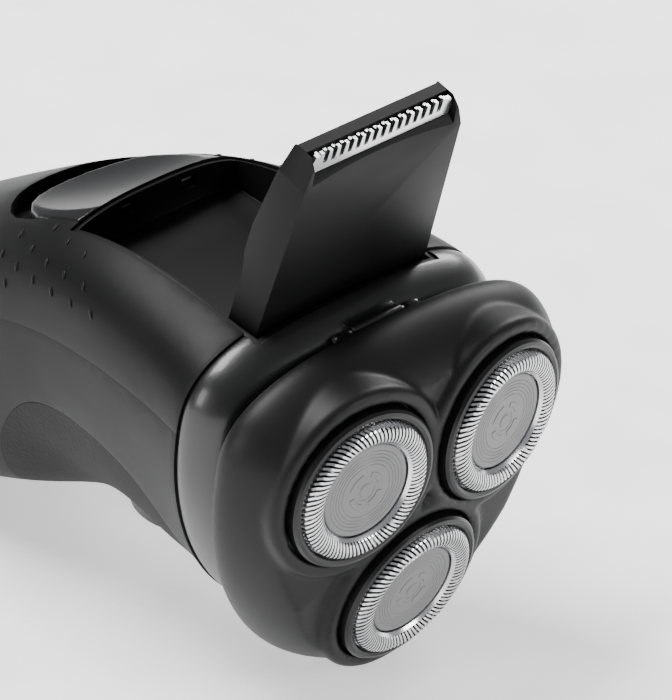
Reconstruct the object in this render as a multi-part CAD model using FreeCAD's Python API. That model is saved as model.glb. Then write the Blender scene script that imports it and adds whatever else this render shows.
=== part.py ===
"""Rotary electric shaver with three floating heads and a pop-up trimmer, as an assembly of separate parts.

Everything is modelled in the head frame, in millimetres: x across the shaver, y towards the trimmer side,
z out of the shaving face, with z = 0 at the heads' discs. to_row() then lays the shaver on its front, as it
rests on a shelf: +Z up, the shaving face towards -Y, the lowest point at Z = 0 and the box centred on X and Y.
"""
import FreeCAD
import Part
import math
import os

V = FreeCAD.Vector
X_AXIS, Y_AXIS, Z_AXIS = V(1, 0, 0), V(0, 1, 0), V(0, 0, 1)

# ---------------------------------------------------------------- driving dimensions (mm, degrees)
HEAD_SPACING = 28.0        # between the centres of two shaving heads
HEAD_TILT = 6.1            # each head leans outwards
DISC_R = 7.42              # grey disc in the middle of a guard
GUARD_R = 11.1             # outside of the metal guard
GUARD_WALL = 0.35
HOLDER_R = 12.6            # plastic ring round a guard
HEAD_HOLE_R = 12.95        # hole in the cover that the ring floats in
LOBE_R = 15.4              # raised lobe of the cover round each head

LIE_ANGLE = 10.7           # the face looks this far below the horizon when the shaver lies down
GROUND = -31.2             # height of the ground under the head frame's origin when it lies down
WALL = 2.2                 # housing wall
FLIP_PIVOT = (22.4, -15.0)      # y, z of the pin the shaving unit opens on

TRIMMER_PIVOT = (20.9, -24.9)   # y, z of the trimmer's hinge pin
TRIMMER_LEAN = 7.8              # the open trimmer leans this far forward
TRIMMER_BASE_HALF, TRIMMER_TIP_HALF = 16.8, 15.2
LEVER_U = 7.9                   # rocker's pivot, measured along the trimmer from its hinge
BAY_CLEARANCE, BAY_WALL = 0.35, 0.9
BAY_END_Z = -59.2
BAY_FLOOR_Y = 13.8

SLIDE_HALF, SLIDE_START_Z, SLIDE_END_Z = 14.4, -60.5, -77.5
SLIDE_LINE = ((19.9, -60.5), (10.0, -79.0))     # rear surface under the slide, as y, z

PINION_TEETH, GEAR_TEETH, GEAR_MODULE = 14, 38, 0.6
GEAR_ORBIT = (PINION_TEETH + GEAR_TEETH) * GEAR_MODULE / 2
GEAR_Z0, GEAR_Z1 = -20.0, -17.9
DECK_SCREWS = [(0.0, 17.2), (-15.6, -9.0), (15.6, -9.0)]

BUTTON_Z = -45.5           # power button, on the front
LENS_Z = -80.0             # charge light
TAIL_SCREWS = (-8.6, 8.6)
BATTERY_START, BATTERY_END = (0.0, -18.5, -75.0), (0.0, -41.0, -117.0)

# Profile stations: rear point (y, z), front point (y, z), half width, share of the height where it is widest,
# squareness of the rear and of the front half (2 is an ellipse).
STATIONS = [
    ((24.3, -23.0), (-31.0, -23.0), 29.1, 0.741, 2.90, 1.80),
    ((24.5, -34.0), (-29.7, -32.0), 27.2, 0.735, 2.85, 1.85),
    ((23.7, -46.0), (-28.6, -42.0), 25.6, 0.725, 2.80, 1.90),
    ((21.4, -57.0), (-29.2, -50.5), 24.4, 0.700, 2.70, 1.95),
    ((16.6, -68.5), (-33.2, -59.0), 23.5, 0.660, 2.55, 2.00),
    ((9.6, -79.5), (-38.6, -68.0), 23.0, 0.620, 2.45, 2.05),
    ((1.0, -91.0), (-43.4, -78.5), 22.8, 0.580, 2.40, 2.10),
    ((-8.6, -103.0), (-47.2, -91.0), 22.3, 0.550, 2.35, 2.15),
    ((-18.4, -115.0), (-51.2, -105.0), 21.2, 0.530, 2.30, 2.20),
    ((-27.8, -126.5), (-54.8, -119.0), 19.4, 0.515, 2.30, 2.20),
    ((-35.2, -136.0), (-57.0, -130.5), 17.0, 0.505, 2.30, 2.20),
]
SECTION_POINTS = 36
# Side line where the rear and front housings meet, as (y, z)
SEAM = [(9.9, -23.0), (9.3, -33.0), (7.9, -44.0), (4.6, -58.0), (-1.6, -72.0), (-9.6, -85.0),
        (-19.2, -98.5), (-29.5, -112.0), (-38.8, -124.0), (-45.4, -133.4)]


# ---------------------------------------------------------------- small helpers
def rad(degrees):
    return math.radians(degrees)


def cylinder(radius, z0, z1, x=0.0, y=0.0):
    return Part.makeCylinder(radius, z1 - z0, V(x, y, z0), Z_AXIS)


def ring(outer, inner, z0, z1, x=0.0, y=0.0):
    return cylinder(outer, z0, z1, x, y).cut(cylinder(inner, z0 - 1, z1 + 1, x, y))


def box(x0, x1, y0, y1, z0, z1):
    return Part.makeBox(x1 - x0, y1 - y0, z1 - z0, V(x0, y0, z0))


def rod(radius, start, end):
    start, end = V(*start), V(*end)
    return Part.makeCylinder(radius, (end - start).Length, start, end - start)


def prism(points, direction):
    """Straight-sided prism: a closed polygon pushed along a direction."""
    corners = [V(*p) for p in points]
    return Part.Face(Part.makePolygon(corners + [corners[0]])).extrude(V(*direction))


def side_prism(yz_points, half_width):
    """Prism across the shaver, from a polygon in the side view."""
    return prism([(-half_width, y, z) for y, z in yz_points], (2 * half_width, 0, 0))


def smooth_wire(points, closed=True):
    curve = Part.BSplineCurve()
    curve.interpolate([V(*p) for p in points], PeriodicFlag=closed)
    return Part.Wire([curve.toShape()])


def revolve(rz_points):
    """Solid of revolution about z from a closed (radius, z) polygon."""
    corners = [V(r, 0, z) for r, z in rz_points]
    return Part.Face(Part.makePolygon(corners + [corners[0]])).revolve(V(0, 0, 0), Z_AXIS, 360)


def turned(shape, base, axis, angle):
    shape = shape.copy()
    shape.rotate(V(*base), V(*axis), angle)
    return shape


def moved(shape, dx=0.0, dy=0.0, dz=0.0):
    shape = shape.copy()
    shape.translate(V(dx, dy, dz))
    return shape


def ring_spring(coil_r, wire_r, z0, z1, coils):
    """Spring about z, as closed coils joined by a short bar."""
    half = wire_r / 2
    spring = box(coil_r - half, coil_r + half, -half, half, z0, z1)
    for i in range(coils):
        spring = spring.fuse(Part.makeTorus(coil_r, wire_r, V(0, 0, z0 + (z1 - z0) * i / (coils - 1)), Z_AXIS))
    return spring


# ---------------------------------------------------------------- sections of the body and of the shaving unit
def station_wire(station, inset, shift=0.0):
    """Closed outline of the body at one station, drawn in by inset and moved along z by shift."""
    (ry, rz), (fy, fz), half, widest, rear_square, front_square = station
    height = math.hypot(ry - fy, rz - fz)
    up_y, up_z = (ry - fy) / height, (rz - fz) / height
    centre_y, centre_z = fy + (ry - fy) * widest, fz + (rz - fz) * widest
    rise, fall = height * (1 - widest) - inset, height * widest - inset
    points = []
    for i in range(SECTION_POINTS):
        t = 2 * math.pi * i / SECTION_POINTS
        c, s = math.cos(t), math.sin(t)
        power = 2 / (rear_square if s >= 0 else front_square)
        x = (half - inset) * math.copysign(abs(c) ** power, c)
        h = (rise if s >= 0 else fall) * math.copysign(abs(s) ** power, s)
        points.append((x, centre_y + up_y * h, centre_z + up_z * h + shift))
    return smooth_wire(points)


def body_loft(inset, first=0, last=None, front_extension=0.0):
    """Body's outer form drawn in by inset. front_extension pushes the first outline forward, to cut through."""
    stations = STATIONS[first:last]
    wires = [station_wire(s, inset) for s in stations]
    if front_extension:
        wires.insert(0, station_wire(stations[0], inset, front_extension))
    return Part.makeLoft(wires, True)


def head_centre(k):
    """Centre of head k at z = 0: two at the trimmer side and one at the front."""
    angle = rad((150, 30, 270)[k])
    orbit = HEAD_SPACING / math.sqrt(3)
    return orbit * math.cos(angle), orbit * math.sin(angle)


def on_head(shape, k):
    """Moves a shape made about the z axis onto head k, leaning outwards."""
    x, y = head_centre(k)
    shape = turned(shape, (0, 0, 0), (-y, x, 0), HEAD_TILT)
    shape.translate(V(x, y, 0))
    return shape


def head_axis(k):
    x, y = head_centre(k)
    length = math.hypot(x, y)
    lean = rad(HEAD_TILT)
    return V(x / length * math.sin(lean), y / length * math.sin(lean), math.cos(lean))


def spindle_centre(k):
    x, y = head_centre(k)
    length = math.hypot(x, y)
    return x / length * GEAR_ORBIT, y / length * GEAR_ORBIT


def rim_wire(z, inset=0.0):
    """Outline of the shaving unit's cover: like the body's, a little wider at the rear corners."""
    return station_wire(((24.4, z), (-32.6, z), 31.2, 0.742, 2.75, 1.90), inset)


def cut_above_faces(shape, drop):
    """Keeps what lies under the three leaning planes that carry the heads, drop millimetres below the discs."""
    for k in range(3):
        shape = shape.cut(on_head(box(-90, 90, -90, 90, -drop, 90), k))
    return shape


def flat_foot(shape):
    """Takes off what would stick out under the ground the shaver lies on."""
    ground = box(-60, 60, -90, GROUND, -170, 60)
    return shape.cut(turned(ground, (0, 0, 0), (1, 0, 0), -LIE_ANGLE))


# ---------------------------------------------------------------- shaving unit
def head_cover():
    solid = Part.makeLoft([rim_wire(-13.8, 0.9), rim_wire(-12.6, 0.0), rim_wire(-9.0, 0.3), rim_wire(-5.0, 2.4),
                           rim_wire(-1.0, 6.5), rim_wire(3.0, 12.0)], True)
    solid = cut_above_faces(solid, 2.9)
    for k in range(3):
        lobe = cylinder(LOBE_R, -7.0, -2.2).fuse(Part.makeCone(LOBE_R, LOBE_R - 0.7, 0.9, V(0, 0, -2.2)))
        solid = solid.fuse(on_head(lobe, k))
    hollow = Part.makeLoft([rim_wire(-15.0, 2.4), rim_wire(-9.0, 2.2), rim_wire(-5.0, 4.2), rim_wire(0.0, 9.0)], True)
    solid = solid.cut(cut_above_faces(hollow, 3.9))
    for k in range(3):
        solid = solid.cut(on_head(cylinder(HEAD_HOLE_R, -9, 6), k)).cut(on_head(cylinder(13.95, -9, -3.9), k))
    y, z = FLIP_PIVOT
    solid = solid.cut(Part.makeCylinder(1.15, 10.4, V(-5.2, y, z), X_AXIS))
    for x in (-8.2, 5.4):
        lug = Part.makeCylinder(0.85, 2.8, V(x, y, z), X_AXIS).fuse(box(x, x + 2.8, y - 0.4, y + 0.7, z, z + 2.4))
        solid = solid.fuse(lug)
    solid = solid.cut(Part.makeCylinder(0.5, 18.0, V(-9.0, y, z), X_AXIS))
    return flat_foot(solid.removeSplitter())


def flip_pin():
    return Part.makeCylinder(0.45, 16.4, V(-8.2, *FLIP_PIVOT), X_AXIS)


def retaining_frame():
    """Plate behind the cutters, with a ring for each head, that keeps guards and cutters in the cover."""
    plate = cylinder(9.5, -9.6, -8.4)
    for k in range(3):
        plate = plate.fuse(cylinder(11.2, -9.6, -8.4, *spindle_centre(k)))
    for k in range(3):
        plate = plate.cut(cylinder(8.4, -12, -5, *spindle_centre(k)))
    return plate.cut(cylinder(1.6, -12, -5)).removeSplitter()


def frame_knob():
    """Quarter-turn knob in the middle of the retaining frame."""
    knob = cylinder(4.6, -11.2, -9.75).fuse(box(-0.8, 0.8, -4.3, 4.3, -12.6, -11.2))
    return knob.fuse(cylinder(1.5, -9.75, -8.0)).removeSplitter()


def unit_seal():
    """Soft lip round the back of the cover that meets the deck."""
    outer = Part.makeLoft([rim_wire(-14.3, 2.5), rim_wire(-11.0, 2.5)], True, True)
    lip = outer.cut(Part.makeLoft([rim_wire(-15.0, 3.5), rim_wire(-10.0, 3.5)], True, True))
    return lip.cut(Part.makeCylinder(1.3, 18.0, V(-9.0, *FLIP_PIVOT), X_AXIS))


def guard():
    """Metal cap with a raised shaving track; its fine slots are added for the display model."""
    w = GUARD_WALL
    track = [(DISC_R + 0.18, -0.9), (DISC_R + 0.18, 0.15), (8.15, 0.72), (8.9, 1.02), (9.7, 1.05),
             (10.4, 0.82), (10.9, 0.3), (GUARD_R, -0.4), (GUARD_R, -3.6)]
    inside = [(GUARD_R - w, -3.6), (GUARD_R - w, -0.45), (10.9 - w, 0.1), (10.25, 0.50), (9.65, 0.70),
              (8.98, 0.67), (8.35, 0.40), (DISC_R + 0.18 + w, 0.0), (DISC_R + 0.18 + w, -0.9)]
    return revolve(track + inside)


def cap_disc():
    return cylinder(DISC_R, -0.75, 0.0).fuse(ring(8.6, 6.2, -1.25, -0.95).fuse(ring(7.2, 6.2, -1.0, -0.7)))


def holder_ring():
    """Black ring that carries the guard and floats in the cover."""
    return revolve([(GUARD_R + 0.05, -5.0), (HOLDER_R + 0.7, -5.0), (HOLDER_R + 0.7, -4.3), (HOLDER_R, -4.3),
                    (HOLDER_R, -0.55), (HOLDER_R - 0.3, -0.12), (HOLDER_R - 0.75, 0.02), (HOLDER_R - 1.2, -0.12),
                    (GUARD_R + 0.05, -0.45)])


def cutter():
    """Rotary cutter: slanted blades on a carrier, with a socket that the spindle drives."""
    carrier = revolve([(3.1, -3.3), (10.2, -3.3), (10.2, -2.6), (6.0, -2.6), (4.2, -2.0), (0.0, -2.0), (0.0, -3.2),
                       (2.35, -3.2), (2.35, -5.0), (3.1, -5.0)])
    blades = []
    for i in range(15):
        blade = turned(box(8.7, 10.0, -0.2, 0.2, -2.8, 0.25), (9.3, 0, -2.6), (1, 0, 0), 16)
        blades.append(turned(blade, (0, 0, 0), (0, 0, 1), 24.0 * i))
    return carrier.multiFuse(blades).removeSplitter()


# ---------------------------------------------------------------- drive train
def polar(r, degrees):
    return r * math.cos(rad(degrees)), r * math.sin(rad(degrees))


def gear_outline(teeth, phase, slack):
    """Corner points of an involute gear with 20 degree flanks."""
    pitch_r = teeth * GEAR_MODULE / 2
    base_r = pitch_r * math.cos(rad(20))
    tip_r, root_r = pitch_r + 0.80 * GEAR_MODULE, pitch_r - 1.15 * GEAR_MODULE
    start_r = max(base_r, root_r)

    def involute(angle):
        return math.tan(angle) - angle

    half = (math.pi * GEAR_MODULE / 2 - slack) / (2 * pitch_r) + involute(rad(20))
    flank = []
    for share in (0.0, 0.35, 0.7, 1.0):
        r = start_r + (tip_r - start_r) * share
        flank.append((r, half - involute(math.acos(min(1.0, base_r / r)))))
    flank.insert(0, (root_r - 0.01, flank[0][1] + 0.01))
    points = []
    for i in range(teeth):
        middle = phase + 2 * math.pi * i / teeth
        points += [(r * math.cos(middle - a), r * math.sin(middle - a)) for r, a in flank]
        points += [(r * math.cos(middle + a), r * math.sin(middle + a)) for r, a in reversed(flank)]
    return points


def gear_disc(teeth, phase, z0, z1, slack=0.14):
    return prism([(x, y, z0) for x, y in gear_outline(teeth, phase, slack)], (0, 0, z1 - z0))


def motor_shaft():
    """Motor shaft with its pinion."""
    pinion = gear_disc(PINION_TEETH, 0.0, GEAR_Z0 - 0.3, GEAR_Z1 + 0.3)
    return pinion.fuse(cylinder(1.0, -58.0, GEAR_Z1 + 0.8)).removeSplitter()


def drive_gear(k):
    """Gear k round the pinion, with the hub that its spindle slides in."""
    x, y = spindle_centre(k)
    line = math.atan2(y, x)
    phase = line * (1 + PINION_TEETH / GEAR_TEETH) + math.pi - math.pi / GEAR_TEETH
    gear = gear_disc(GEAR_TEETH, phase, GEAR_Z0, GEAR_Z1).fuse(cylinder(3.3, GEAR_Z0 - 1.7, GEAR_Z1 + 0.9))
    gear = gear.cut(cylinder(2.0, GEAR_Z0 - 3, GEAR_Z1 + 3))
    for i in range(6):
        gear = gear.cut(cylinder(1.7, GEAR_Z0 - 3, GEAR_Z1 + 3, *polar(7.2, 60 * i)))
    return moved(gear.removeSplitter(), x, y)


def spindle(k):
    """Sprung shaft that carries the gear's turn up to the cutter."""
    shaft = cylinder(1.9, -22.2, -10.2).fuse(cylinder(3.1, -11.4, -10.2)).fuse(cylinder(1.6, -10.2, -4.0))
    return moved(shaft.removeSplitter(), *spindle_centre(k))


def spindle_spring(k):
    """Spring round a spindle."""
    return moved(ring_spring(2.55, 0.24, GEAR_Z1 + 1.2, -11.75, 6), *spindle_centre(k))


def motor_can():
    can = cylinder(10.1, -56.0, -26.2).fuse(cylinder(3.0, -26.2, -25.0)).fuse(cylinder(3.4, -57.4, -56.0))
    return can.cut(cylinder(1.06, -61, -20)).removeSplitter()


def gear_plate():
    """Plate under the gears that carries the motor and the bushes the gears turn in."""
    z0, z1 = -23.4, -21.9
    plate = Part.makeLoft([station_wire(STATIONS[0], 3.15, z0 + 23), station_wire(STATIONS[0], 3.15, z1 + 23)],
                          True, True)
    plate = plate.common(box(-40, 40, -40, 15.4, -40, 0))
    for k in range(3):
        plate = plate.fuse(cylinder(4.5, z1 - 0.2, GEAR_Z0 - 0.35, *spindle_centre(k)))
    plate = plate.fuse(cylinder(10.1, -25.9, z0 + 0.1)).cut(cylinder(3.1, -30, -20))
    for k in range(3):
        x, y = spindle_centre(k)
        plate = plate.cut(cylinder(2.5, -30, -20, x, y)).cut(cylinder(3.36, z1 + 0.05, -15, x, y))
    return plate.removeSplitter()


def drive_deck():
    """Deck that closes the collar in front, with a raised boss round each spindle."""
    z0, z1 = -16.4, -15.0
    deck = Part.makeLoft([station_wire(STATIONS[0], 4.5, z0 + 23), station_wire(STATIONS[0], 4.5, z1 + 23)],
                         True, True)
    for k in range(3):
        deck = deck.fuse(cylinder(4.9, z1 - 0.5, z1 + 1.8, *spindle_centre(k)))
    for k in range(3):
        deck = deck.cut(cylinder(3.55, -30, 0, *spindle_centre(k)))
    for x, y in DECK_SCREWS:
        deck = deck.cut(cylinder(1.15, -30, 0, x, y)).cut(cylinder(2.2, z1 - 0.5, 0, x, y))
    return deck.removeSplitter()


def deck_screws():
    screws = []
    for x, y in DECK_SCREWS:
        screw = cylinder(2.1, -15.45, -14.6, x, y).fuse(cylinder(1.05, -17.0, -15.45, x, y))
        slot = box(x - 1.3, x + 1.3, y - 0.25, y + 0.25, -15.0, -14)
        screws.append(screw.cut(slot).cut(turned(slot, (x, y, 0), (0, 0, 1), 90)).removeSplitter())
    return Part.makeCompound(screws)


# ---------------------------------------------------------------- collar and body
def collar_form(inset):
    """Outer form of the gloss collar: full at the back and rolling in towards the shaving unit."""
    return Part.makeLoft([station_wire(STATIONS[0], step + inset, shift) for shift, step in
                          ((0.0, 0.45), (1.1, 0.1), (3.0, 0.25), (5.0, 0.9), (6.9, 2.1), (8.2, 3.7))], True)


def latch_form(gap):
    """Button at the front of the collar that lets the shaving unit open."""
    outline = [(-5.5 - gap, -17.4 + gap), (5.5 + gap, -17.4 + gap), (6.3 + gap, -21.0 - gap), (-6.3 - gap, -21.0 - gap)]
    return prism([(x, -45, z) for x, z in outline], (0, 25, 0))


def latch_button():
    return latch_form(0.0).common(box(-10, 10, -31.6, -29.4, -30, 0)).common(collar_form(-0.35))


def collar():
    solid = collar_form(0.0)
    first = STATIONS[0]
    solid = solid.cut(Part.makeLoft([station_wire(first, 3.0, -1.0), station_wire(first, 3.0, 6.0)], True, True))
    solid = solid.cut(Part.makeLoft([station_wire(first, 4.4, 5.0), station_wire(first, 4.4, 9.5)], True, True))
    solid = solid.cut(bay_form(BAY_WALL + 0.08)).cut(latch_form(0.3))
    y, z = FLIP_PIVOT
    lug = Part.makeCylinder(0.85, 9.6, V(-4.8, y, z), X_AXIS).fuse(side_prism(
        [(y + 0.6, z - 0.6), (y - 0.5, z + 0.5), (y - 1.5, z - 0.6), (y - 1.6, z - 2.4), (y + 0.4, z - 2.4)], 4.8))
    return solid.fuse(lug).cut(Part.makeCylinder(0.5, 12, V(-6, y, z), X_AXIS)).removeSplitter()


def bay_form(grow):
    """Trimmer bay grown outwards by grow: tapered in plan, deeper towards the tail."""
    g = grow
    floor = BAY_FLOOR_Y - g
    profile = side_prism([(45, -21.2 + g), (16.9 - g, -21.2 + g), (16.9 - g, -29.0), (floor, -50.0),
                          (floor, BAY_END_Z - g), (45, BAY_END_Z - g)], 25)
    front, back = TRIMMER_BASE_HALF + BAY_CLEARANCE + g, TRIMMER_TIP_HALF + BAY_CLEARANCE + g
    plan = prism([(-front, 5, -19), (front, 5, -19), (front, 5, -25), (back, 5, -59.0 - g), (back, 5, -64),
                  (-back, 5, -64), (-back, 5, -59.0 - g), (-front, 5, -25)], (0, 45, 0))
    return profile.common(plan)


def trimmer_bay():
    """Tray that lines the bay, with two latch windows in its end wall and a small stop on the floor."""
    tray = bay_form(BAY_WALL).common(body_loft(0.45, last=6, front_extension=3.2)).cut(bay_form(0.0))
    for x in (-6.0, 6.0):
        tray = tray.cut(box(x - 1.6, x + 1.6, 16.6, 18.9, BAY_END_Z - 3, BAY_END_Z + 0.5))
    y, z = TRIMMER_PIVOT
    return tray.cut(Part.makeCylinder(0.95, 60, V(-30, y, z), X_AXIS))


def slide_outline(half, z_start, z_end):
    """U-shaped outline (x, z) of the thumb slide, rounded towards the tail."""
    depth = 11.0
    points = [(half, z_start)]
    for i in range(13):
        t = math.pi * i / 12
        points.append((half * math.cos(t), z_end + depth - depth * math.sin(t)))
    return points + [(-half, z_start)]


def slide_block(grow, z_start, z_end, floor_drop):
    """Slide-shaped block above a plane that runs floor_drop under the rear surface."""
    outline = slide_outline(SLIDE_HALF + grow, z_start, z_end)
    block = prism([(x, -40, z) for x, z in outline], (0, 90, 0))
    (y0, z0), (y1, z1) = SLIDE_LINE
    slope = (y1 - y0) / (z1 - z0)
    a, b = -50.0, -95.0
    above = side_prism([(y0 + slope * (a - z0) - floor_drop, a), (60, a), (60, b),
                        (y0 + slope * (b - z0) - floor_drop, b)], 40)
    return block.common(above)


def slide_direction():
    (y0, z0), (y1, z1) = SLIDE_LINE
    length = math.hypot(y1 - y0, z1 - z0)
    return (y1 - y0) / length, (z1 - z0) / length


def slide_point(along, drop):
    """(y, z) of a point along the slide line, drop under it (measured along y)."""
    (y0, z0), (ty, tz) = SLIDE_LINE[0], slide_direction()
    return y0 + ty * along - drop, z0 + tz * along


def slide_pocket(a0, a1, half, drop0, drop1):
    """Block along the slide line between two depths."""
    corners = [slide_point(a0, drop0), slide_point(a1, drop0), slide_point(a1, drop1), slide_point(a0, drop1)]
    return side_prism(corners, half)


def release_slide(outer):
    slide = slide_block(0.0, SLIDE_START_Z, SLIDE_END_Z, 3.8).common(outer)
    dish = Part.makeSphere(80.0)
    y, z = slide_point(8.5, 0.0)
    ty, tz = slide_direction()
    dish.translate(V(0, y - 78.4 * tz, z + 78.4 * ty))
    slide = slide.cut(dish)
    for x in (-6.0, 6.0):
        slide = slide.fuse(box(x - 1.2, x + 1.2, 17.5, 18.5, SLIDE_START_Z - 1.5, BAY_END_Z - 0.2))
    return slide.cut(slide_pocket(4.0, 14.0, 1.6, 2.3, 6.0)).removeSplitter()


def release_spring():
    y0, z0 = slide_point(4.2, 3.25)
    y1, z1 = slide_point(12.3, 3.25)
    spring = ring_spring(0.60, 0.14, 0.45, math.hypot(y1 - y0, z1 - z0) - 0.45, 8)
    spring.rotate(V(0, 0, 0), X_AXIS, 180 + math.degrees(math.atan2(y0 - y1, z0 - z1)) * -1)
    spring.translate(V(0, y0, z0))
    return spring


def seam_side(rear):
    """Everything on the rear or the front side of the line where the housings meet."""
    line = Part.BSplineCurve()
    line.interpolate([V(-60, y, z) for y, z in [(9.9, -12.0)] + SEAM + [(-56.0, -150.0)]])
    far = 80 if rear else -120
    first, last = V(-60, 9.9, -12.0), V(-60, -56.0, -150.0)
    far_first, far_last = V(-60, far, -12.0), V(-60, far, -150.0)
    edges = [line.toShape(), Part.makeLine(last, far_last), Part.makeLine(far_last, far_first),
             Part.makeLine(far_first, first)]
    return Part.Face(Part.Wire(edges)).extrude(V(120, 0, 0))


def grip_side(grow):
    """Everything in front of the upper edge of the soft grip."""
    g = grow
    points = [(-20, -28.5 + g), (-13.5, -30.0 + g), (-9.0 + g, -34.5), (-7.3 + g, -43.0), (-7.3 + g, -52.0),
              (-9.5 + g, -58.0 - g), (-14.5, -62.5 - g), (-24, -66.5 - g)]
    top = Part.BSplineCurve()
    top.interpolate([V(-50, y, z) for y, z in points])
    path = [V(-50, *points[-1]), V(-50, -60, -74 - g), V(-50, -60, -28.5 + g), V(-50, *points[0])]
    edges = [top.toShape()] + [Part.makeLine(a, b) for a, b in zip(path, path[1:])]
    return Part.Face(Part.Wire(edges)).extrude(V(100, 0, 0))


def across_y(radius, y0, y1, x=0.0, z=0.0):
    return Part.makeCylinder(radius, y1 - y0, V(x, y0, z), Y_AXIS)


def power_button():
    button = across_y(6.5, -29.4, -27.2, z=BUTTON_Z).fuse(across_y(1.8, -27.2, -25.1, z=BUTTON_Z))
    return button.cut(Part.makeSphere(20.0, V(0, -48.9, BUTTON_Z)))


def button_bezel():
    return across_y(8.2, -29.1, -26.4, z=BUTTON_Z).cut(across_y(6.65, -40, 0, z=BUTTON_Z))


def tail_frame(shape):
    """Places a shape made with +z pointing out of the tail onto the tail's end face."""
    (ry, rz), (fy, fz) = STATIONS[-1][:2]
    shape = turned(shape, (0, 0, 0), (1, 0, 0), 180)
    shape = turned(shape, (0, 0, 0), (1, 0, 0), math.degrees(math.atan2(rz - fz, ry - fy)))
    shape.translate(V(0, (ry + fy) / 2, (rz + fz) / 2))
    return shape


def tail_cap():
    """Rounded end of the handle, with the charging socket's opening and two screw seats."""
    end = STATIONS[-1]
    cap = Part.makeLoft([station_wire(end, step, shift) for shift, step in
                         ((0.0, 0.05), (-0.9, 0.3), (-1.9, 1.1), (-2.6, 2.6))], True)
    cap = cap.fuse(Part.makeLoft([station_wire(end, 3.9, -0.2), station_wire(end, 3.9, 1.6)], True, True))
    cap = cap.cut(tail_frame(slot_block(4.9, 1.95, -8, 8)))
    for x in TAIL_SCREWS:
        cap = cap.cut(tail_frame(cylinder(1.15, -8, 8, x))).cut(tail_frame(cylinder(2.1, 1.0, 8, x)))
    return flat_foot(cap)


def slot_block(half_x, half_y, z0, z1):
    """Block with round ends."""
    straight = half_x - half_y
    block = box(-straight, straight, -half_y, half_y, z0, z1)
    return block.fuse(cylinder(half_y, z0, z1, -straight)).fuse(cylinder(half_y, z0, z1, straight)).removeSplitter()


def charging_shell():
    shell = slot_block(4.5, 1.6, -5.6, 1.6).cut(slot_block(4.2, 1.3, -5.2, 5))
    return tail_frame(shell)


def charging_tongue():
    return tail_frame(box(-3.3, 3.3, -0.35, 0.35, -5.15, 1.0))


def tail_screws():
    screws = []
    for x in TAIL_SCREWS:
        screw = cylinder(2.0, 1.05, 1.9, x).fuse(cylinder(1.05, -5.0, 1.05, x))
        slot = box(x - 1.2, x + 1.2, -0.22, 0.22, 1.5, 3)
        screws.append(screw.cut(slot).cut(turned(slot, (x, 0, 0), (0, 0, 1), 90)).removeSplitter())
    return tail_frame(Part.makeCompound(screws))


def battery():
    return rod(7.1, BATTERY_START, BATTERY_END)


def battery_contacts():
    start, end = V(*BATTERY_START), V(*BATTERY_END)
    way = (end - start).normalize()
    tabs = [Part.makeCylinder(4.0, 0.8, start - way * 0.8, way), Part.makeCylinder(4.0, 0.8, end, way)]
    return Part.makeCompound(tabs)


# ---------------------------------------------------------------- trimmer, made lying along y from its pivot
def trimmer_place(shape):
    shape = turned(shape, (0, 0, 0), (1, 0, 0), TRIMMER_LEAN)
    shape.translate(V(0, *TRIMMER_PIVOT))
    return shape


def trimmer_block(un_points, half_base, half_tip):
    """Block from a side profile (u along the trimmer, n towards its front), narrower at the tip."""
    block = side_prism(un_points, half_base + 1)
    plan = prism([(-half_base, -6, -10), (half_base, -6, -10), (half_base, 2, -10), (half_tip, 31, -10),
                  (half_tip, 40, -10), (-half_tip, 40, -10), (-half_tip, 31, -10), (-half_base, 2, -10)], (0, 0, 20))
    return block.common(plan)


def trimmer_frame():
    outside = [(-1.9, -1.9), (-2.7, 0.0), (-1.9, 1.9), (0.3, 2.75), (29.2, 2.75), (31.2, 2.2), (33.0, 0.9),
               (33.0, -2.0), (32.5, -2.3), (17.5, -3.9), (13.0, -3.8), (9.0, -2.9), (0.4, -2.7)]
    frame = trimmer_block(outside, TRIMMER_BASE_HALF, TRIMMER_TIP_HALF)
    for side in (-1, 1):
        corner = prism([(side * 15.3, 28.2, -9), (side * 13.6, 33.6, -9), (side * 18, 33.6, -9),
                        (side * 18, 28.2, -9)], (0, 0, 20))
        frame = frame.cut(corner)
    # between the ears the top is lower, so the blades show
    gap = [(28.5, 4.0), (28.5, 2.6), (29.7, 1.42), (29.7, 0.2), (31.0, 0.2), (31.0, -6), (36, -6), (36, 4)]
    frame = frame.cut(side_prism(gap, 13.85))
    # hollow from behind, closed by the back cover, and a slot at the tip for the blades
    frame = frame.cut(trimmer_block([(5.5, -6), (5.5, 1.4), (28.4, 1.4), (28.4, -6)], 14.2, 13.0))
    frame = frame.cut(box(-13.85, 13.85, 28.0, 32, -0.6, 1.45))
    # thumb scoop in the front face
    frame = frame.cut(Part.makeSphere(175.4, V(0, 51.3, 2.75 + 173.2)))
    # room for the spring in the foot, and the pin's bore
    frame = frame.cut(box(-4.2, 4.2, -4, 3.4, -4, 2.1))
    return trimmer_place(frame.cut(Part.makeCylinder(0.95, 60, V(-30, 0, 0), X_AXIS)))


def trimmer_back_cover():
    return trimmer_place(trimmer_block([(5.7, -2.7), (9.0, -2.8), (13.0, -3.65), (17.5, -3.75), (28.2, -2.6), (28.2, -1.95),
                                        (17.5, -3.1), (13.0, -3.0), (9.0, -2.1), (5.7, -2.05)], 13.9, 12.8))


def toothed_plate(half, teeth, u0, u_root, u_tip, n0, n1, width):
    """Plate with a row of teeth along its top edge."""
    pitch = 2 * half / (teeth - 0.4)
    points = [(-half, u0, n0), (-half, u_root, n0)]
    for i in range(teeth):
        x = -half + pitch * (i + 0.3)
        points += [(x - width / 2, u_root, n0), (x - width / 3, u_tip, n0), (x + width / 3, u_tip, n0),
                   (x + width / 2, u_root, n0)]
    points += [(half, u_root, n0), (half, u0, n0)]
    return prism(points, (0, 0, n1 - n0))


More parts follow.
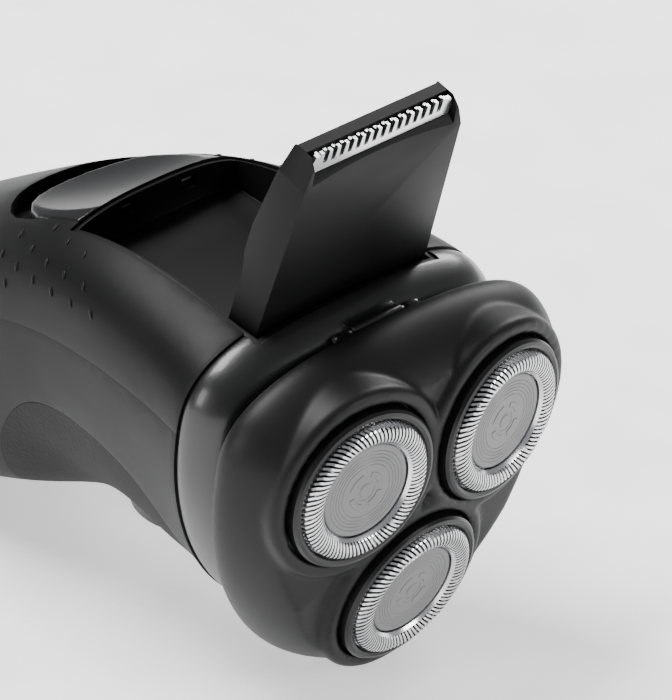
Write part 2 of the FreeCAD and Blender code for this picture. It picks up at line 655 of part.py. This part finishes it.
def trimmer_comb():
    comb = toothed_plate(12.4, 16, 28.3, 30.9, 32.9, 0.75, 1.38, 0.80)
    for side in (-1, 1):
        end = prism([(side * 12.3, 28.3, 0.75), (side * 13.6, 28.3, 0.75), (side * 13.6, 31.7, 0.75),
                     (side * 13.1, 32.7, 0.75), (side * 12.3, 32.7, 0.75)], (0, 0, 0.63))
        comb = comb.fuse(end)
    return trimmer_place(comb.removeSplitter())


def trimmer_cutter():
    blade = toothed_plate(12.7, 16, 28.9, 30.8, 32.4, 0.15, 0.65, 0.75)
    return trimmer_place(blade.fuse(box(-3.0, 3.0, 28.9, 29.9, -0.4, 0.2)).cut(box(-1.0, 1.0, 28.0, 30.4, -1, 1)))


def trimmer_bar():
    return trimmer_place(box(-13.75, 13.75, 31.0, 32.75, -1.95, -0.1))


def trimmer_lever():
    """Rocker inside the trimmer whose tip carries the cutter from side to side."""
    lever = cylinder(2.2, -1.6, -0.6, 0.0, LEVER_U).fuse(box(-1.3, 1.3, LEVER_U, 27.9, -1.6, -0.6))
    lever = lever.fuse(box(-0.7, 0.7, 26.5, 29.9, -0.55, 0.1).fuse(box(-0.7, 0.7, 26.5, 27.9, -0.9, -0.5)))
    return trimmer_place(lever.cut(cylinder(0.9, -5, 5, 0.0, LEVER_U)).removeSplitter())


def lever_post():
    return trimmer_place(cylinder(0.84, -1.9, 1.35, 0.0, LEVER_U))


def trimmer_spring():
    coil = ring_spring(1.6, 0.2, -3.4, 3.4, 9)
    y, z = TRIMMER_PIVOT
    coil.rotate(V(0, 0, 0), Y_AXIS, 90)
    coil.translate(V(0, y, z))
    return coil


def trimmer_pin():
    half = TRIMMER_BASE_HALF + BAY_CLEARANCE + BAY_WALL - 0.1
    return Part.makeCylinder(0.9, 2 * half, V(-half, *TRIMMER_PIVOT), X_AXIS)


# ---------------------------------------------------------------- placing and writing
def to_row(shape):
    shape = shape.copy()
    shape.rotate(V(0, 0, 0), X_AXIS, 90 + LIE_ANGLE)
    return shape


def build():
    nodes = {}
    outer = body_loft(0.0)
    shell = flat_foot(outer.cut(body_loft(WALL)))
    grip_core = body_loft(1.3, first=0, last=8)
    bezel_hole = across_y(8.25, -45, -10, z=BUTTON_Z)
    lens_rod = across_y(1.3, -55, -25, z=LENS_Z)
    grip = flat_foot(outer.common(grip_side(0.0)).cut(grip_core)).cut(bezel_hole)
    nodes["front_grip"] = grip

    front = shell.common(seam_side(False))
    pad = body_loft(1.35, first=0, last=8)
    groove = grip_side(0.05).cut(pad)
    front = front.cut(groove).cut(bezel_hole).cut(across_y(1.33, -55, -25, z=LENS_Z))
    nodes["front_housing"] = front
    nodes["indicator_lens"] = lens_rod.common(shell)

    rear = shell.common(seam_side(True))
    floor = slide_block(1.3, SLIDE_START_Z + 1.2, SLIDE_END_Z - 5.4, 5.8).common(body_loft(1.0, first=2, last=8))
    rear = rear.fuse(floor).cut(slide_block(0.35, SLIDE_START_Z + 0.3, SLIDE_END_Z - 3.8, 4.15))
    rear = rear.cut(bay_form(BAY_WALL + 0.05))
    for x in (-6.0, 6.0):
        rear = rear.cut(box(x - 1.6, x + 1.6, 16.6, 18.9, SLIDE_START_Z - 1, BAY_END_Z))
    rear = rear.fuse(slide_pocket(12.7, 13.6, 1.2, 2.7, 5.2))
    nodes["rear_housing"] = rear.removeSplitter()
    nodes["release_slide"] = release_slide(body_loft(0.12, first=2, last=8))
    nodes["release_spring"] = release_spring()

    nodes["head_collar"] = collar()
    nodes["head_latch_button"] = latch_button()
    nodes["drive_deck"] = drive_deck()
    nodes["deck_screws"] = deck_screws()
    nodes["gear_plate"] = gear_plate()
    nodes["motor_can"] = motor_can()
    nodes["motor_shaft"] = motor_shaft()
    for k in range(3):
        nodes["drive_gear_%d" % (k + 1)] = drive_gear(k)
        nodes["spindle_%d" % (k + 1)] = spindle(k)
        nodes["spindle_spring_%d" % (k + 1)] = spindle_spring(k)

    nodes["tail_cap"] = tail_cap()
    nodes["charging_shell"] = charging_shell()
    nodes["charging_tongue"] = charging_tongue()
    nodes["tail_screws"] = tail_screws()
    nodes["battery"] = battery()
    nodes["battery_contacts"] = battery_contacts()
    nodes["circuit_board"] = box(-7.5, 7.5, -21.9, -20.7, -56.0, -37.0)
    nodes["tact_switch"] = box(-3.0, 3.0, -24.3, -21.9, BUTTON_Z - 3, BUTTON_Z + 3)
    nodes["power_button"] = power_button()
    nodes["button_bezel"] = button_bezel()

    nodes["trimmer_bay"] = trimmer_bay()
    nodes["trimmer_hinge_pin"] = trimmer_pin()
    nodes["trimmer_spring"] = trimmer_spring()
    nodes["trimmer_frame"] = trimmer_frame()
    nodes["trimmer_back_cover"] = trimmer_back_cover()
    nodes["trimmer_comb"] = trimmer_comb()
    nodes["trimmer_bar"] = trimmer_bar()
    nodes["trimmer_cutter"] = trimmer_cutter()
    nodes["trimmer_lever"] = trimmer_lever()
    nodes["lever_post"] = lever_post()

    nodes["shaving_cover"] = head_cover()
    nodes["flip_pin"] = flip_pin()
    nodes["unit_seal"] = unit_seal()
    nodes["retaining_frame"] = retaining_frame()
    nodes["frame_knob"] = frame_knob()
    shapes = {"guard": guard(), "cap_disc": cap_disc(), "holder_ring": holder_ring(), "cutter": cutter()}
    for k in range(3):
        for name, shape in shapes.items():
            nodes["%s_%d" % (name, k + 1)] = on_head(shape, k)
    return nodes


def write(nodes):
    os.makedirs("parts", exist_ok=True)
    row = {name: to_row(shape) for name, shape in nodes.items()}
    corners = [p for shape in row.values() for p in shape.tessellate(0.1)[0]]
    y_low, y_high = min(p.y for p in corners), max(p.y for p in corners)
    shift = V(0, -(y_low + y_high) / 2, -GROUND)
    print("shift", [round(v, 4) for v in shift], "lowest", round(min(p.z for p in corners) - GROUND, 4))
    for name, shape in sorted(row.items()):
        shape.translate(shift)
        b = shape.BoundBox
        print("%-20s solids %d valid %s vol %8.1f  z %.2f..%.2f" %
              (name, len(shape.Solids), shape.isValid(), shape.Volume, b.ZMin, b.ZMax))
        shape.exportStep("parts/%s.step" % name)


write(build())
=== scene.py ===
# %% [markdown]
# # Rotary shaver with its trimmer open
# The solid model already has every piece at its real size and place, with the joints between them. This lesson
# adds what the solids leave out: the slots of the shaving guards, the rings of the discs, soft edges, the droplets
# on the housing and the finishes. So the frame is loaded first, and nothing in it is moved.

# %% Load the frame
import bpy
import math
from mathutils import Matrix, Vector


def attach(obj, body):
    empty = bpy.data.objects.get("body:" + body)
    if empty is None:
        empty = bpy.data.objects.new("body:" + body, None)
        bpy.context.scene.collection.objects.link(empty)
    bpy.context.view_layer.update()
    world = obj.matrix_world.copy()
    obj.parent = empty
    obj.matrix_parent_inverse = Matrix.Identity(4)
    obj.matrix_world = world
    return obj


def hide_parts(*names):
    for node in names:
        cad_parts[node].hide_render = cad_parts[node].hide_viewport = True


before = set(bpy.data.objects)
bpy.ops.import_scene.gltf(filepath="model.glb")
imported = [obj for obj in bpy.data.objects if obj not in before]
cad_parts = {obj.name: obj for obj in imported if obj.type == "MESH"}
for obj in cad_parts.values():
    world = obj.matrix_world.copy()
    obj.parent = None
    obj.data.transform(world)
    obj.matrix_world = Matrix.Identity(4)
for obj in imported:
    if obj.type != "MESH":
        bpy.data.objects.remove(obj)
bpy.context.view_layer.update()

# %% [markdown]
# The heads, collar and trimmer are easiest to think about looking straight at the shaving face: x across, y towards
# the trimmer, z out of the face. The shaver lies on its front, so one matrix takes that head frame to the world.
# Sizes in that frame are written in millimetres.

# %% Head frame
LIE = math.radians(100.7)
HEAD = Matrix.Translation((0, -0.069234, 0.0312)) @ Matrix.Rotation(LIE, 4, "X") @ Matrix.Scale(0.001, 4)
SPACING, TILT = 28.0, math.radians(6.1)
ORBIT = SPACING / math.sqrt(3)


def head_matrix(k):
    """Matrix of head k: its disc at z = 0, leaning outwards."""
    angle = math.radians((150, 30, 270)[k])
    x, y = ORBIT * math.cos(angle), ORBIT * math.sin(angle)
    return HEAD @ Matrix.Translation((x, y, 0)) @ Matrix.Rotation(TILT, 4, (-y, x, 0))


print("head centres:", [tuple(round(v, 4) for v in head_matrix(k).translation) for k in range(3)])

# %% [markdown]
# The camera stands well back with a long lens, left of the shaver and above it, looking down on the shaving face.
# A long lens keeps the three heads nearly the same size. The floor is a large pale sheet a hair under the shaver.

# %% Camera and floor
LENS_MM = 308.6
CAMERA_AT = (-0.5273, -0.5792, 0.4554)
FLOOR_SIZE, FLOOR_DROP = 6, 0.0002

camera_data = bpy.data.cameras.new("camera")
camera_data.lens = LENS_MM
camera_data.sensor_width = 36.0
camera_data.clip_end = 50.0
camera = bpy.data.objects.new("camera", camera_data)
bpy.context.scene.collection.objects.link(camera)
right, up = Vector((0.70781, -0.70640, 0.0)), Vector((0.33815, 0.33889, 0.87795))
back = right.cross(up)
turn = Matrix((right, up, back)).transposed().to_4x4()
camera.matrix_world = Matrix.Translation(CAMERA_AT) @ turn
bpy.context.scene.camera = camera

bpy.ops.object.select_all(action="DESELECT")
bpy.ops.mesh.primitive_plane_add(size=FLOOR_SIZE, location=(0, 0, -FLOOR_DROP))
floor = bpy.context.object
floor.name = "floor"
print("camera at", tuple(round(v, 3) for v in camera.location))

# %% [markdown]
# Black plastic shows its shape only by what it reflects. A big soft light above the trimmer side draws the long
# pale streaks, a second from the left fills the collar, and a strip behind on the right edges the trimmer.

# %% Lights
def soft_light(name, place, aim, size, power):
    data = bpy.data.lights.new(name, "AREA")
    data.shape, data.size, data.size_y, data.energy = "RECTANGLE", size[0], size[1], power
    light = bpy.data.objects.new(name, data)
    bpy.context.scene.collection.objects.link(light)
    light.location = place
    light.rotation_euler = (Vector(aim) - Vector(place)).to_track_quat("-Z", "Y").to_euler()


soft_light("top_softbox", (-0.15, 0.45, 1.15), (0, -0.02, 0.03), (0.7, 0.5), 26)
soft_light("left_softbox", (-1.1, 0.25, 0.50), (0, -0.03, 0.03), (0.35, 0.6), 7)
soft_light("front_softbox", (0.45, -1.15, 0.45), (0, -0.07, 0.03), (0.5, 0.35), 7)
soft_light("right_strip", (0.9, 0.25, 0.6), (0, -0.05, 0.04), (0.2, 0.7), 7)
world = bpy.data.worlds.new("studio")
bpy.context.scene.world = world
world.use_nodes = True
world.node_tree.nodes["Background"].inputs["Color"].default_value = (0.95, 0.96, 1.0, 1)
world.node_tree.nodes["Background"].inputs["Strength"].default_value = 0.34

# %% [markdown]
# Moulded plastic is never one flat tone. One node group gives every plastic its grain: fine noise lifts and lowers
# the surface by a few hundredths of a millimetre, a broader noise shifts colour and roughness a little.

# %% Grain group
def socket(tree, name, side, kind, value=None):
    made = tree.interface.new_socket(name=name, in_out=side, socket_type=kind)
    if value is not None:
        made.default_value = value
    return made


grain = bpy.data.node_groups.new("moulded_grain", "ShaderNodeTree")
socket(grain, "Colour", "INPUT", "NodeSocketColor", (0.02, 0.02, 0.02, 1))
socket(grain, "Rough", "INPUT", "NodeSocketFloat", 0.5)
socket(grain, "Size", "INPUT", "NodeSocketFloat", 4000.0)
socket(grain, "Colour", "OUTPUT", "NodeSocketColor")
socket(grain, "Rough", "OUTPUT", "NodeSocketFloat")
socket(grain, "Height", "OUTPUT", "NodeSocketFloat")
n, link = grain.nodes, grain.links
g_in, g_out = n.new("NodeGroupInput"), n.new("NodeGroupOutput")
where = n.new("ShaderNodeTexCoord")
fine, broad = n.new("ShaderNodeTexNoise"), n.new("ShaderNodeTexNoise")
fine.inputs["Detail"].default_value = 2.0
broad.inputs["Scale"].default_value = 60.0
broad.inputs["Detail"].default_value = 5.0
link.new(where.outputs["Object"], fine.inputs["Vector"])
link.new(where.outputs["Object"], broad.inputs["Vector"])
link.new(g_in.outputs["Size"], fine.inputs["Scale"])
shift = n.new("ShaderNodeMapRange")
shift.inputs["To Min"].default_value, shift.inputs["To Max"].default_value = 0.82, 1.18
link.new(broad.outputs["Fac"], shift.inputs["Value"])
tone = n.new("ShaderNodeVectorMath")
tone.operation = "SCALE"
link.new(g_in.outputs["Colour"], tone.inputs[0])
link.new(shift.outputs["Result"], tone.inputs["Scale"])
rough = n.new("ShaderNodeMath")
rough.operation = "MULTIPLY"
link.new(g_in.outputs["Rough"], rough.inputs[0])
link.new(shift.outputs["Result"], rough.inputs[1])
link.new(tone.outputs["Vector"], g_out.inputs["Colour"])
link.new(rough.outputs["Value"], g_out.inputs["Rough"])
link.new(fine.outputs["Fac"], g_out.inputs["Height"])
print("grain group:", len(n), "nodes")

# %% [markdown]
# Each finish places the grain group with its own colour, roughness and grain size. Sparkle in the gloss collar is
# a fine, deep grain under a clear coat. The rubber is dull with a coarse grain, and steel is the only true metal.
# The floor glows faintly, as a light table does, so that it stays pale under black plastic.

# %% Finishes
FINISH = {}


def finish(name, colour, rough, grain_size, depth, metal=0.0, coat=0.0, coat_rough=0.1, specular=0.5):
    material = bpy.data.materials.new(name)
    material.use_nodes = True
    nodes, links = material.node_tree.nodes, material.node_tree.links
    shader = nodes["Principled BSDF"]
    group = nodes.new("ShaderNodeGroup")
    group.node_tree = grain
    group.inputs["Colour"].default_value = (*colour, 1)
    group.inputs["Rough"].default_value = rough
    group.inputs["Size"].default_value = grain_size
    bump = nodes.new("ShaderNodeBump")
    bump.inputs["Strength"].default_value = 1.0
    bump.inputs["Distance"].default_value = depth
    links.new(group.outputs["Height"], bump.inputs["Height"])
    links.new(bump.outputs["Normal"], shader.inputs["Normal"])
    links.new(group.outputs["Colour"], shader.inputs["Base Color"])
    links.new(group.outputs["Rough"], shader.inputs["Roughness"])
    shader.inputs["Metallic"].default_value = metal
    shader.inputs["Coat Weight"].default_value = coat
    shader.inputs["Coat Roughness"].default_value = coat_rough
    shader.inputs["Specular IOR Level"].default_value = specular
    FINISH[name] = material
    return material


finish("matt_housing", (0.0028, 0.0028, 0.0030), 0.46, 5200, 0.000012, specular=0.14)
finish("soft_grip", (0.0025, 0.0025, 0.0026), 0.62, 1500, 0.00010, specular=0.18)
finish("sparkle_collar", (0.0035, 0.0035, 0.0037), 0.34, 6500, 0.000022, coat=0.30, coat_rough=0.16, specular=0.4)
finish("satin_cover", (0.0058, 0.0058, 0.0061), 0.44, 4500, 0.000012, specular=0.18)
finish("gloss_black", (0.004, 0.004, 0.0042), 0.26, 3000, 0.000004, coat=0.4, coat_rough=0.10)
finish("satin_slide", (0.0045, 0.0045, 0.0047), 0.34, 4500, 0.000006, specular=0.28)
finish("bay_black", (0.0024, 0.0024, 0.0025), 0.44, 4000, 0.000008, specular=0.13)
finish("disc_grey", (0.150, 0.150, 0.152), 0.42, 4200, 0.000010, coat=0.15, coat_rough=0.2, specular=0.3)
finish("ring_black", (0.004, 0.004, 0.0042), 0.34, 4000, 0.000006, specular=0.3)
finish("guard_steel", (0.66, 0.66, 0.67), 0.20, 3000, 0.000005, metal=1.0)
finish("plain_steel", (0.52, 0.52, 0.53), 0.28, 2600, 0.000006, metal=1.0)
finish("drive_white", (0.62, 0.61, 0.57), 0.42, 3000, 0.000010)
finish("cell_wrap", (0.05, 0.16, 0.13), 0.30, 2500, 0.000006, coat=0.3)
finish("board_green", (0.012, 0.09, 0.035), 0.40, 2500, 0.000010)
finish("milky_lens", (0.45, 0.45, 0.42), 0.30, 2500, 0.000005, coat=0.5)
finish("pale_floor", (0.97, 0.97, 0.97), 0.70, 900, 0.000050)
floor.data.materials.append(FINISH["pale_floor"])
glow = FINISH["pale_floor"].node_tree.nodes["Principled BSDF"]
glow.inputs["Emission Color"].default_value = (1, 1, 1, 1)
glow.inputs["Emission Strength"].default_value = 0.65
print("finishes:", len(FINISH))

# %% [markdown]
# Every solid gets the finish of the real piece. They are listed by finish, and a print shows any that was missed.

# %% Finishes on the solids
WEARS = {
    "matt_housing": "rear_housing front_housing tail_cap trimmer_frame trimmer_back_cover",
    "soft_grip": "front_grip unit_seal",
    "sparkle_collar": "head_collar",
    "gloss_black": "release_slide power_button head_latch_button button_bezel",
    "satin_cover": "shaving_cover",
    "bay_black": "trimmer_bay trimmer_bar drive_deck gear_plate retaining_frame frame_knob tact_switch "
                 "charging_tongue lever_post trimmer_lever",
    "ring_black": "holder_ring_1 holder_ring_2 holder_ring_3",
    "disc_grey": "cap_disc_1 cap_disc_2 cap_disc_3",
    "guard_steel": "guard_1 guard_2 guard_3 trimmer_comb trimmer_cutter",
    "plain_steel": "trimmer_hinge_pin trimmer_spring spindle_spring_1 spindle_spring_2 spindle_spring_3 "
                   "release_spring flip_pin motor_can motor_shaft deck_screws tail_screws battery_contacts "
                   "charging_shell cutter_1 cutter_2 cutter_3",
    "drive_white": "drive_gear_1 drive_gear_2 drive_gear_3 spindle_1 spindle_2 spindle_3",
    "cell_wrap": "battery",
    "board_green": "circuit_board",
    "milky_lens": "indicator_lens",
}


def wear(piece, name):
    piece.data.materials.clear()
    piece.data.materials.append(FINISH[name])


for name, nodes_of_it in WEARS.items():
    for node in nodes_of_it.split():
        wear(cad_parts[node], name)
worn = {node for names in WEARS.values() for node in names.split()}
print("solids without a finish:", sorted(set(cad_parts) - worn))

# %% [markdown]
# Guards and discs are round, so they are drawn as a turner would cut them: one ring of edges is added, then
# extruded and resized from radius to radius along the profile. The other helpers select faces, apply a modifier,
# smooth a piece, copy it, and put it in its place with its finish and its body.

# %% Helpers
def pick(mesh_object, test):
    """Selects, in edit mode, the faces whose centre passes the test."""
    bpy.ops.object.mode_set(mode="OBJECT")
    for part in (mesh_object.data.vertices, mesh_object.data.edges, mesh_object.data.polygons):
        part.foreach_set("select", [False] * len(part))
    for face in mesh_object.data.polygons:
        face.select = test(face.center, face)
    bpy.ops.object.mode_set(mode="EDIT")
    bpy.ops.mesh.select_mode(type="FACE")


def turned(name, profile, sides, fill_start=False):
    """Surface of revolution about z through the (radius, height) points of the profile, in millimetres."""
    bpy.ops.object.select_all(action="DESELECT")
    radius, height = profile[0]
    bpy.ops.mesh.primitive_circle_add(vertices=sides, radius=radius, location=(0, 0, height),
                                      fill_type="TRIFAN" if fill_start else "NOTHING")
    piece = bpy.context.object
    piece.name = name
    bpy.ops.object.transform_apply(location=True, rotation=True, scale=True)
    bpy.ops.object.mode_set(mode="EDIT")
    bpy.ops.mesh.select_mode(type="EDGE")
    bpy.ops.mesh.select_all(action="SELECT")
    if fill_start:
        bpy.ops.mesh.region_to_loop()
    for next_radius, next_height in profile[1:]:
        bpy.ops.mesh.extrude_edges_move(TRANSFORM_OT_translate={"value": (0, 0, next_height - height)})
        ratio = next_radius / radius
        bpy.ops.transform.resize(value=(ratio, ratio, 1), center_override=(0, 0, next_height))
        radius, height = next_radius, next_height
    bpy.ops.mesh.select_all(action="SELECT")
    bpy.ops.mesh.normals_make_consistent(inside=False)
    bpy.ops.object.mode_set(mode="OBJECT")
    return piece


def use(piece, kind, name, **settings):
    """Adds a modifier and applies it."""
    modifier = piece.modifiers.new(name, kind)
    for key, value in settings.items():
        setattr(modifier, key, value)
    bpy.ops.object.select_all(action="DESELECT")
    piece.select_set(True)
    bpy.context.view_layer.objects.active = piece
    bpy.ops.object.modifier_apply(modifier=name)


def smooth(piece, angle=30):
    bpy.ops.object.select_all(action="DESELECT")
    piece.select_set(True)
    bpy.context.view_layer.objects.active = piece
    bpy.ops.object.shade_smooth_by_angle(angle=math.radians(angle))


def settle(piece, matrix, body, finish_name, slot_name, *nodes):
    """Copies the piece's shape to its place in the world, and ties it to a body."""
    piece.data.transform(matrix)
    piece.data.update()
    wear(piece, finish_name)
    if nodes:
        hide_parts(*nodes)
    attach(piece, body)
    return piece


def copy_of(piece, name):
    twin = piece.copy()
    twin.data = piece.data.copy()
    twin.name = name
    bpy.context.scene.collection.objects.link(twin)
    return twin


print("helpers ready")

# %% [markdown]
# A guard is pressed from thin steel and slit round its raised track, so hairs can enter. Alternate faces of the
# track are deleted to leave the slits. The track is then twisted a little, because real slits slant, and Solidify
# gives the strips that remain their thickness.

# %% Shaving guards
SLITS, SHEET = 84, 0.26
SLIT_FROM, SLIT_LOW = 8.1, -0.75                  # slits start at this radius, and end at this height
TWIST, TWIST_FROM = math.radians(2.6), 8.0        # twist for each millimetre outwards, from this radius
GUARD_PROFILE = [(7.62, -0.85), (7.62, 0.12), (8.0, 0.55), (8.35, 0.82), (8.9, 1.01), (9.6, 1.05), (10.2, 0.90),
                 (10.65, 0.58), (10.92, 0.18), (11.05, -0.35), (11.10, -0.95), (11.10, -3.5)]
guard_form = turned("guard_form", GUARD_PROFILE, SLITS * 2)


def in_slit(centre, face):
    far = math.hypot(centre.x, centre.y)
    step = math.degrees(math.atan2(centre.y, centre.x)) * SLITS / 180 % 2
    return SLIT_FROM < far and centre.z > SLIT_LOW and step < 1


def slant(point):
    """Turns a point about z by more the further out along the track it lies."""
    far = math.hypot(point.x, point.y)
    along = max(0.0, far - TWIST_FROM) + max(0.0, 0.6 - point.z) * (1 if far > 10.5 else 0)
    angle = TWIST * min(along, 4.5)
    return Vector((point.x * math.cos(angle) - point.y * math.sin(angle),
                   point.x * math.sin(angle) + point.y * math.cos(angle), point.z))


pick(guard_form, in_slit)
bpy.ops.mesh.delete(type="FACE")
bpy.ops.object.mode_set(mode="OBJECT")
for vertex in guard_form.data.vertices:
    vertex.co = slant(vertex.co)
use(guard_form, "SOLIDIFY", "sheet", thickness=SHEET, offset=-1)
smooth(guard_form, 40)
for k in range(3):
    settle(copy_of(guard_form, "slotted_guard_%d" % (k + 1)), head_matrix(k), "head_%d" % (k + 1),
           "guard_steel", "steel", "guard_%d" % (k + 1))
bpy.data.objects.remove(guard_form)
print("slits in a guard:", SLITS)

# %% [markdown]
# The grey disc closes the middle of a guard. Fine turned grooves run round it, and in the centre a small cap sits
# among four raised arcs. The grooves are only a twentieth of a millimetre deep, enough to catch a line of light.

# %% Grey discs
def disc_profile():
    points = [(0.12, 0.07), (0.95, 0.07), (1.08, 0.0), (1.20, -0.06), (1.50, -0.06), (1.60, 0.0), (2.15, 0.0),
              (3.05, 0.0)]
    for radius in (4.3, 4.9, 5.4, 5.9, 6.45):
        points += [(radius - 0.09, 0.0), (radius, -0.07), (radius + 0.09, 0.0)]
    return points + [(7.15, 0.02), (7.32, -0.05), (7.42, -0.2), (7.42, -0.75)]


disc_form = turned("disc_form", disc_profile(), 96, fill_start=True)


def in_arc(centre, face):
    far = math.hypot(centre.x, centre.y)
    part = (math.degrees(math.atan2(centre.y, centre.x)) + 360) % 90
    return 2.16 < far < 3.04 and centre.z > -0.01 and 16 < part < 74


pick(disc_form, in_arc)
bpy.ops.mesh.inset(thickness=0.07, depth=0.09)
bpy.ops.object.mode_set(mode="OBJECT")
smooth(disc_form, 25)
for k in range(3):
    settle(copy_of(disc_form, "grooved_disc_%d" % (k + 1)), head_matrix(k), "head_%d" % (k + 1),
           "disc_grey", "disc_grey", "cap_disc_%d" % (k + 1))
bpy.data.objects.remove(disc_form)

# %% [markdown]
# A moulded edge is never sharp. The solids of the visible mouldings have sharp edges, so a copy of each is merged,
# its flat areas are joined up, and a narrow bevel rounds what is left. The copy then stands for the solid.

# %% Soft edges on the mouldings
def softened(node, width, body, finish_name, slot_name, angle=32, segments=3):
    piece = copy_of(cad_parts[node], node + "_soft")
    piece.parent = None
    bpy.ops.object.select_all(action="DESELECT")
    piece.select_set(True)
    bpy.context.view_layer.objects.active = piece
    bpy.ops.object.mode_set(mode="EDIT")
    bpy.ops.mesh.select_all(action="SELECT")
    bpy.ops.mesh.remove_doubles(threshold=0.000004)
    bpy.ops.mesh.dissolve_limited(angle_limit=math.radians(0.6))
    bpy.ops.object.mode_set(mode="OBJECT")
    use(piece, "BEVEL", "edge", width=width, segments=segments, limit_method="ANGLE",
        angle_limit=math.radians(angle), harden_normals=False)
    smooth(piece, 40)
    return settle(piece, Matrix.Identity(4), body, finish_name, slot_name, node)


softened("trimmer_frame", 0.00040, "trimmer", "matt_housing", "cover_black")
softened("trimmer_bay", 0.00020, "shaver_body", "bay_black", "inner_black")
for shell, look, slot in (("rear_housing", "matt_housing", "body_black"),
                          ("front_housing", "matt_housing", "body_black"),
                          ("head_collar", "sparkle_collar", "gloss_black")):
    softened(shell, 0.00022, "shaver_body", look, slot, angle=40)

# %% [markdown]
# The cover of the shaving unit has no crisp edge at all: each raised lobe flows into the next. The thumb slide is
# the same, a dished pad with a rounded rim. Their copies are rebuilt as an even skin by a voxel remesh and then
# relaxed, which rounds every edge by about a millimetre on the cover and half of that on the slide.

# %% Cover of the shaving unit and thumb slide
def flowing(node, name, voxel, passes, body, finish_name, slot_name):
    piece = copy_of(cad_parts[node], name)
    piece.parent = None
    use(piece, "REMESH", "even_skin", mode="VOXEL", voxel_size=voxel)
    use(piece, "SMOOTH", "relax", factor=0.5, iterations=passes)
    smooth(piece, 60)
    settle(piece, Matrix.Identity(4), body, finish_name, slot_name, node)
    print(name, "faces:", len(piece.data.polygons))


flowing("shaving_cover", "flowing_cover", 0.00036, 16, "shaving_unit", "satin_cover", "cover_black")
flowing("release_slide", "dished_slide", 0.00022, 12, "release", "satin_slide", "gloss_black")

# %% [markdown]
# Slanting rows of small raised droplets give the fingers hold on the flanks of the rear housing. One droplet is
# shaped from a ball, then copied to a slanting grid between two lines along the flank. A ray from the side sets each
# on the housing, and all are joined into one piece.

# %% Grip droplets
bpy.ops.object.select_all(action="DESELECT")
bpy.ops.mesh.primitive_ico_sphere_add(subdivisions=2, radius=1.0, location=(0, 0, 0))
droplet = bpy.context.object
droplet.name = "droplet_form"
bpy.ops.object.mode_set(mode="EDIT")
bpy.ops.transform.resize(value=(0.00020, 0.00032, 0.00080))
bpy.ops.object.mode_set(mode="OBJECT")
LEAN = Matrix.Rotation(math.radians(38), 4, "X")
housing = bpy.data.objects["rear_housing_soft"]
bpy.context.view_layer.update()
FLANK_TOP = ((-46, 17.5), (-54, 19.4), (-60, 18.2), (-70, 12.6), (-80, 5.5), (-92, -4.5), (-104, -15.0),
             (-118, -25.0))
FLANK_LOW = ((-46, 12.6), (-54, 11.8), (-60, 10.4), (-70, 3.5), (-80, -3.0), (-92, -12.0), (-104, -21.0),
             (-118, -31.0))
FIRST, ALONG, ACROSS = (14.5, -59.3), (-1.9, 3.8), (3.0, 0.9)     # (y, z) of one droplet, and the two grid steps


def between(table, z):
    """Height on a line given as (z, y) points."""
    for (z0, y0), (z1, y1) in zip(table, table[1:]):
        if z0 >= z >= z1:
            return y0 + (y1 - y0) * (z - z0) / (z1 - z0)
    return table[-1][1]


droplets = []
for i in range(-26, 10):
    for j in range(-30, 14):
        y, z = (FIRST[n] + i * ALONG[n] + j * ACROSS[n] for n in (0, 1))
        if not (-118 < z < -46 and between(FLANK_LOW, z) < y < between(FLANK_TOP, z)):
            continue
        for side in (-1, 1):
            hit, point, normal, _ = housing.ray_cast(HEAD @ Vector((side * 45, y, z)), Vector((-side, 0, 0)))
            if hit:
                twin = copy_of(droplet, "droplet")
                facing = normal.to_track_quat("X", "Z").to_matrix().to_4x4()
                twin.data.transform(Matrix.Translation(point) @ facing @ LEAN)
                droplets.append(twin)
bpy.data.objects.remove(droplet)
bpy.ops.object.select_all(action="DESELECT")
for twin in droplets:
    twin.select_set(True)
bpy.context.view_layer.objects.active = droplets[0]
bpy.ops.object.join()
studs = bpy.context.object
studs.name = "grip_droplets"
smooth(studs, 60)
settle(studs, Matrix.Identity(4), "shaver_body", "matt_housing", "body_black")
print("droplets:", len(droplets))
